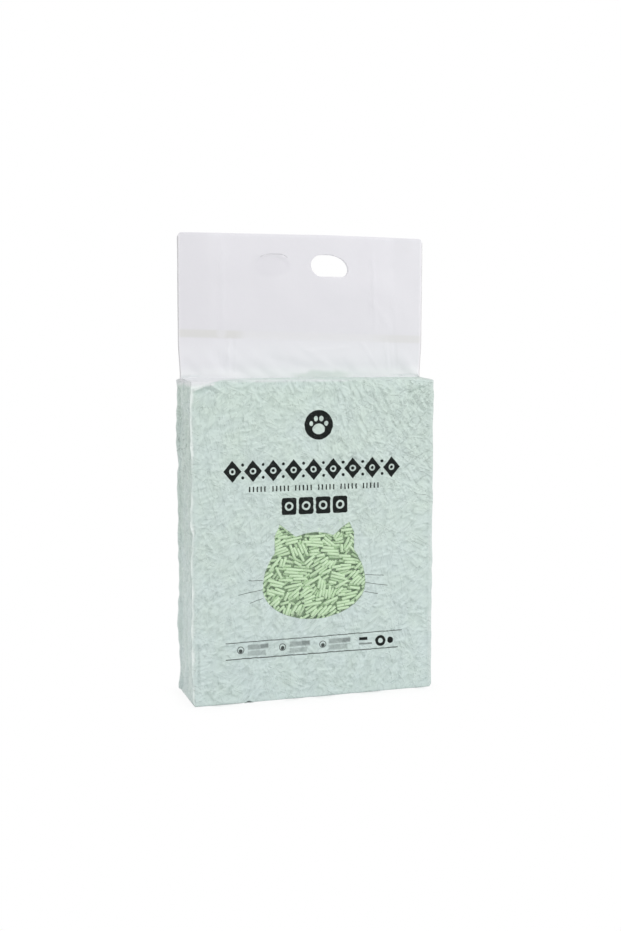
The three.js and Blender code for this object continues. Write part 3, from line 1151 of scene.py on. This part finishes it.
def block_row(x, z):
    """Four rounded blocks, each with a light ring."""
    middle_x, middle_z, pitch, half = -1.2, 200.8, 18.4, 7.9
    cell = x.maths("PINGPONG", x - middle_x - pitch / 2, pitch / 2)
    row = (abs(x - middle_x) - 2 * pitch).ramp(0.1, -0.1)
    up = abs(z - middle_z)
    corner = 2.2
    over_x = (cell - (half - corner)).high(0)
    over_z = (up - (half + 0.9 - corner)).high(0)
    block = ((over_x * over_x + over_z * over_z).root() - corner).ramp(0.25, -0.25)
    ring = disc(cell, up, 0, 0, 4.6) * (1 - disc(cell, up, 0, 0, 2.6))
    return row * block * (1 - ring)


def foot_marks(x, z):
    """Two rules with small round marks, grey bars and one bold block between them."""
    upper, lower, slope = 63.6, 46.1, 0.006
    ring_z, dot_z, bold_x, bold_z = 55.1, 54.2, 71.6, 54.4
    grey_edge, bars_left = 0.8, 48.0
    ink = bar(x, z - x * slope, -96.2, 95.9, upper - 0.45, upper + 0.45) * 0.85
    ink = ink.high(bar(x, z, -96.3, 91.5, lower - 0.5, lower + 0.5) * 0.9)
    for at in (-80.5, -35.9, 7.6):
        ring = disc(x, z, at, ring_z, 3.8) * (1 - disc(x, z, at, ring_z, 3.0))
        ink = ink.high(ring * 0.85).high(disc(x, z, at, dot_z, 2.1) * 0.9)
    for left, right in ((-73.1, -50.9), (-28.3, -6.6), (14.1, 38.0)):
        ink = ink.high(bar(x, z, left, right, 55.2, 60.2, grey_edge) * 0.42)
        ink = ink.high(bar(x, z, right - 9, right, 55.8, 60.2, grey_edge) * 0.6)
        ink = ink.high(bar(x, z, left, right - 3, 48.6, 53.6, grey_edge) * 0.3)
    ink = ink.high(bar(x, z, bars_left, bars_left + 9, 56.2, 59.4))
    ink = ink.high(bar(x, z, bars_left, bars_left + 14, 51.4, 53.4) * 0.6)
    bold = disc(x, z, bold_x, bold_z, 5.7) * (1 - disc(x, z, bold_x, bold_z, 2.6))
    return ink.high(bold).high(disc(x, z, bold_x + 11, bold_z, 3.4))


def milky_film(name, gathers=0.0):
    """Film without print. gathers gives the depth of its fine upright gathers."""
    material, paint = new_material(name)
    x, _, z, spot = place_in_mm(paint)
    colour, bump = film_skin(paint, x, z, spot, gathers)
    end_in_surface(paint, {"Base Color": colour, "Normal": bump, "Roughness": FILM_ROUGHNESS,
                           "Specular IOR Level": 0.4})
    return material


def header_material():
    material, paint = new_material("header_film")
    x, _, z, spot = place_in_mm(paint)
    seal = z - (x * ((SEAL_RIGHT - SEAL_LEFT) / (2 * HEADER_SIDE))
                + (BRICK_TOP + (SEAL_LEFT + SEAL_RIGHT) / 2))
    in_seal = (abs(seal) - SEAL_HEIGHT / 2).ramp(1.5, -1.5)
    left_part = x.ramp(-54, -76) * (1 - disc(x, z, -88, BRICK_TOP + SEAL_LEFT, 5, soft=3) * 0.5)
    sides = left_part.high(x.ramp(40, 112) * 0.75).high(0.32)
    cloud = paint.noise(spot, 30.0, 2.0)
    lumps = (z - cloud * 22).ramp(BRICK_TOP - 2, BRICK_TOP - 7) * x.ramp(-20, 0) * x.ramp(62, 40)
    # Painted light: paler near the foot, against the shade of the brick's top
    painted_foot_light = z.ramp(BRICK_TOP + 16, BRICK_TOP + 3)
    tab = disc(x, z, TAB_X, TAB_Z, HOLE_UP, HOLE_UP / HOLE_LEFT, 3)
    # Painted light: paler towards the neck, against the shade there, and paler towards the right
    painted_neck_light = z.ramp(BRICK_TOP + 56, BRICK_TOP + 24).high(x.ramp(60, 130) * 0.4)
    colour = painted_neck_light.mix(HEADER_COLOUR, NECK_PAINTED_LIGHT)
    colour = (tab * 0.3).mix(colour, TAB_COLOUR)
    colour = painted_foot_light.mix(colour, FOOT_PAINTED_LIGHT)
    colour = (lumps * 0.5).mix(colour, FILM_GREEN)
    colour = (in_seal * sides).mix(colour, SEAL_COLOUR)
    colour = paint.stored("touch").mix(colour, FOLD_COLOUR)
    wrinkle = paint.noise(spot, 120.0, 3.0)
    end_in_surface(paint, {"Base Color": colour, "Alpha": in_seal * 0.05 + 0.9,
                           "Normal": wrinkle.bump(0.08, 0.001), "Roughness": 0.3})
    return material


def pellet_material():
    material, paint = new_material("pressed_pellets")
    grain = paint.noise(place_in_mm(paint)[-1], 1400.0, 2.0)
    # shade holds a painted shade that darkens deeper pellets, times a random tone
    tone = (paint.stored("shade") + grain * 0.3 - 0.15).low(1).high(0)
    end_in_surface(paint, {"Base Color": tone.mix(PELLET_DARK, PELLET_LIGHT),
                           "Normal": grain.bump(0.25, 0.0002), "Roughness": 0.55,
                           "Coat Weight": 0.12, "Coat Roughness": 0.3})
    return material


# Litter

def in_window(x, z, margin):
    """Whether a point of the front lies behind the window or within margin of it."""
    across = np.abs(x - WINDOW_X)
    up = z - WINDOW_Z
    reach = np.where(up > 0, CROWN, CHIN)
    head = (across / (CHEEK + margin)) ** 2 + (up / (reach + margin)) ** 2 < 1
    ear = (across < EAR_OUTER + margin) & (up > 0) & (z < EAR_TIP[1] + margin) & (across > EAR_GAP)
    return head | ear


def rounded_rod():
    """Points and faces of a short rod along Z with bevelled ends, from -1 to 1 each way."""
    bpy.ops.object.select_all(action="DESELECT")
    bpy.ops.mesh.primitive_cylinder_add(vertices=9, radius=1, depth=2, end_fill_type="NGON")
    rod = bpy.context.object
    bpy.ops.object.mode_set(mode="EDIT")
    bpy.ops.mesh.select_all(action="DESELECT")
    bpy.ops.object.mode_set(mode="OBJECT")
    for edge in rod.data.edges:
        ends = [rod.data.vertices[i].co.z for i in edge.vertices]
        edge.select = abs(ends[0] - ends[1]) < 0.1
    bpy.ops.object.mode_set(mode="EDIT")
    bpy.ops.mesh.bevel(offset=0.22, offset_type="OFFSET", segments=1, affect="EDGES")
    bpy.ops.object.mode_set(mode="OBJECT")
    points = np.array([v.co for v in rod.data.vertices])
    # Fuller than round, since the pellets press each other flat
    points[:, :2] = np.sign(points[:, :2]) * np.abs(points[:, :2]) ** 0.8
    faces = [tuple(f.vertices) for f in rod.data.polygons]
    bpy.data.objects.remove(rod)
    return points, faces


def window_pellets(pack, start, material):
    """The pellets that show in the window, as one mesh of short rods."""
    points, faces = rounded_rod()
    rng = np.random.default_rng(5)
    places, polygons, depth_shade_and_tone = [], [], []
    for u, v, depth, half, turned, lean in pack.pellets:
        x, z = u - PACK_EDGE, v - start
        if not in_window(x, z, WINDOW_MARGIN):
            continue
        # Painted shade: deeper pellets are painted darker
        painted_depth_shade = math.exp((depth + PELLET_RADIUS) / DARKER_BY)
        along = np.where(points[:, 2] > 0, points[:, 2] - 1 + half, points[:, 2] + 1 - half)
        bend = rng.normal(0, 0.12) * (1 - (along / half) ** 2)
        girth = PELLET_RADIUS * rng.uniform(0.93, 1.0)
        side = points[:, 0] * girth + bend
        out = points[:, 1] * girth * 0.9
        run, rise = math.cos(turned), math.sin(turned)
        pressed = PILE_PRESSED * (depth + PELLET_RADIUS) - PELLET_RADIUS
        lies_out = pressed + front_roll(x, v) + lean * along + out
        polygons += [tuple(i + len(places) * len(points) for i in face) for face in faces]
        places.append(np.stack([x + along * run - side * rise, -HALF_DEPTH - lies_out + BEHIND_FILM,
                                z + along * rise + side * run], 1))
        depth_shade_and_tone += [painted_depth_shade * rng.uniform(0.8, 1)] * len(points)
    mesh = bpy.data.meshes.new("window_pellets")
    mesh.from_pydata((np.concatenate(places) * MM).tolist(), [], polygons)
    layer = mesh.attributes.new("shade", "FLOAT", "POINT")
    layer.data.foreach_set("value", np.array(depth_shade_and_tone, dtype=np.float32))
    mesh.materials.append(material)
    piece = bpy.data.objects.new("window_pellets", mesh)
    bpy.context.collection.objects.link(piece)
    turn_outward(piece)
    bpy.ops.object.shade_smooth_by_angle(angle=math.radians(50))
    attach(piece, "root")
    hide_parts("litter")
    return piece


def litter_bed(material):
    """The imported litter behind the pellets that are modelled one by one."""
    bpy.ops.object.select_all(action="DESELECT")
    depth = DEEPEST - 1
    size = [2 * (HALF_WIDTH - depth), 2 * (HALF_DEPTH - depth), BRICK_TOP - 2 * depth]
    bpy.ops.mesh.primitive_cube_add(size=1, location=(0, 0, BRICK_TOP / 2 * MM))
    piece = bpy.context.object
    piece.name = "litter_bed"
    piece.scale = [s * MM for s in size]
    bpy.ops.object.transform_apply(location=True, rotation=False, scale=True)
    bpy.ops.object.mode_set(mode="EDIT")
    bpy.ops.mesh.select_all(action="SELECT")
    bpy.ops.mesh.bevel(offset=3 * MM, segments=3, affect="EDGES")
    bpy.ops.object.mode_set(mode="OBJECT")
    piece.data.materials.append(material)
    # Painted shade: the bed takes the darkest pellet colour, as the deepest of the pile
    layer = piece.data.attributes.new("shade", "FLOAT", "POINT")
    layer.data.foreach_set("value", np.zeros(len(piece.data.vertices), dtype=np.float32))
    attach(piece, "root")
    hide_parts("litter")
    return piece


# Studio

CAMERA_AZIMUTH, CAMERA_ELEVATION = -17.845, 5.379
CAMERA_FOCAL_PX = 1251.2
CAMERA_DISTANCE = 1318.1
CAMERA_RIGHT, CAMERA_UP = 4.31, 73.62
PICTURE_HEIGHT_PX = 931
SENSOR = 36.0
AMBIENT = 0.75  # strength of the white surroundings as a light


def seen_rays(paint):
    """1 for what the eye sees, straight or in a reflection."""
    rays = [paint.node("LightPath", output=index) for index in (0, 3, 6)]
    return (rays[0] + rays[1] + rays[2]).low(1)


def photo_camera():
    a, e = math.radians(CAMERA_AZIMUTH), math.radians(CAMERA_ELEVATION)
    back = Vector((math.sin(a) * math.cos(e), -math.cos(a) * math.cos(e), math.sin(e)))
    right = (-back).cross(Vector((0, 0, 1))).normalized()
    up = right.cross(-back)
    place = (Vector((0, 0, BRICK_TOP / 2)) + back * CAMERA_DISTANCE
             + right * CAMERA_RIGHT + up * CAMERA_UP)
    data = bpy.data.cameras.new("camera")
    data.sensor_fit = "VERTICAL"
    data.sensor_height = SENSOR
    data.lens = CAMERA_FOCAL_PX / PICTURE_HEIGHT_PX * SENSOR
    data.clip_end = 50
    camera = bpy.data.objects.new("camera", data)
    bpy.context.collection.objects.link(camera)
    turn = Matrix((right, up, back)).transposed().to_4x4()
    camera.matrix_world = Matrix.Translation(place * MM) @ turn
    bpy.context.scene.camera = camera


def floor_material():
    """A floor that the eye sees as white, with only part of the object's shadow."""
    material, paint = new_material("floor")
    matt = paint.node("BsdfPrincipled", sockets={"Base Color": FLOOR_COLOUR, "Roughness": 0.9,
                                                 "Specular IOR Level": 0.1})
    x, y, _, spot = place_in_mm(paint)
    out_x, out_y = (abs(x) - HALF_WIDTH + 12).high(0), (abs(y) - HALF_DEPTH).high(0)
    away = (out_x * out_x + out_y * out_y).root()
    contact = away.ramp(9.0, 1.0) * paint.noise(spot, 22.0, 1.0).ramp(0.50, 0.56)
    share = 0.84 - contact * 0.6 + away.ramp(2, 30) * 0.16
    lifted = (abs(x - LIFT_X) - 5).ramp(0.5, -0.5) * y.ramp(-20, -25)
    share = share * (1 - lifted * away.ramp(0.6, 0.1))
    white = (seen_rays(paint) * share).low(1)
    glow = paint.node("Emission", sockets={"Color": WHITE, "Strength": 1.0})
    blend = paint.node("MixShader", sockets={0: white, 1: matt, 2: glow})
    paint.node("OutputMaterial", sockets={"Surface": blend})
    return material


def surroundings():
    """White all round, and dimmer as a light than it is to the eye."""
    world = bpy.data.worlds.new("studio")
    bpy.context.scene.world = world
    world.use_nodes = True
    world.node_tree.nodes.clear()
    paint = Paint(world.node_tree)
    strength = seen_rays(paint) * (1 - AMBIENT) + AMBIENT
    background = paint.node("Background", sockets={"Color": WHITE, "Strength": strength})
    paint.node("OutputWorld", sockets={"Surface": background})


def lamp(name, place, size, power):
    """A round lamp that points at the bag. place and size are in metres."""
    data = bpy.data.lights.new(name, "AREA")
    data.shape = "DISK"
    data.size = size
    data.energy = power
    made = bpy.data.objects.new(name, data)
    bpy.context.collection.objects.link(made)
    made.location = place
    toward = Vector((0, 0, 0.22)) - Vector(place)
    made.rotation_euler = toward.to_track_quat("-Z", "Y").to_euler()


def studio():
    photo_camera()
    bpy.ops.object.select_all(action="DESELECT")
    bpy.ops.mesh.primitive_plane_add(size=30)
    floor = bpy.context.object
    floor.name = "floor"
    floor.data.materials.append(floor_material())
    surroundings()
    lamp("key", (1.3, -1.3, 2.0), 0.4, 21)
    lamp("fill", (-1.8, -0.5, 1.1), 0.8, 2.7)
    bpy.context.scene.view_settings.view_transform = "Standard"


# The bag

def build():
    # How much longer a place's run up the front is than its height
    start = HALF_DEPTH + BASE_LAP + FOOT_RIM * (QUARTER - 2)
    length = 2 * HALF_DEPTH + BRICK_TOP + 30
    front = Pack(2 * PACK_EDGE, length, 0.8, 101,
                 seen=lambda u, v: in_window(u - PACK_EDGE, v - start, WINDOW_MARGIN),
                 combed=lambda u, v: front_grain(u - PACK_EDGE, v - start))
    back = Pack(2 * PACK_EDGE, length, 1.3, 102)
    left = Pack(2 * HALF_DEPTH, BRICK_TOP, 0.9, 103)
    right = Pack(2 * HALF_DEPTH, BRICK_TOP, 1.2, 104)
    printed = printed_film()
    milky = milky_film("milky_film")
    gathered = milky_film("gathered_film", gathers=0.35)
    pellets = pellet_material()
    panel("front_panel", -1, front, 264, 370, (10, 6, 330, 6, 18), printed)
    panel("back_panel", 1, back, 200, 292, (8, 5, 262, 5, 12), milky)
    side_panel("left_side", -1, left, gathered)
    side_panel("right_side", 1, right, gathered)
    header_film(header_material())
    window_pellets(front, start, pellets)
    litter_bed(pellets)


build()
studio()
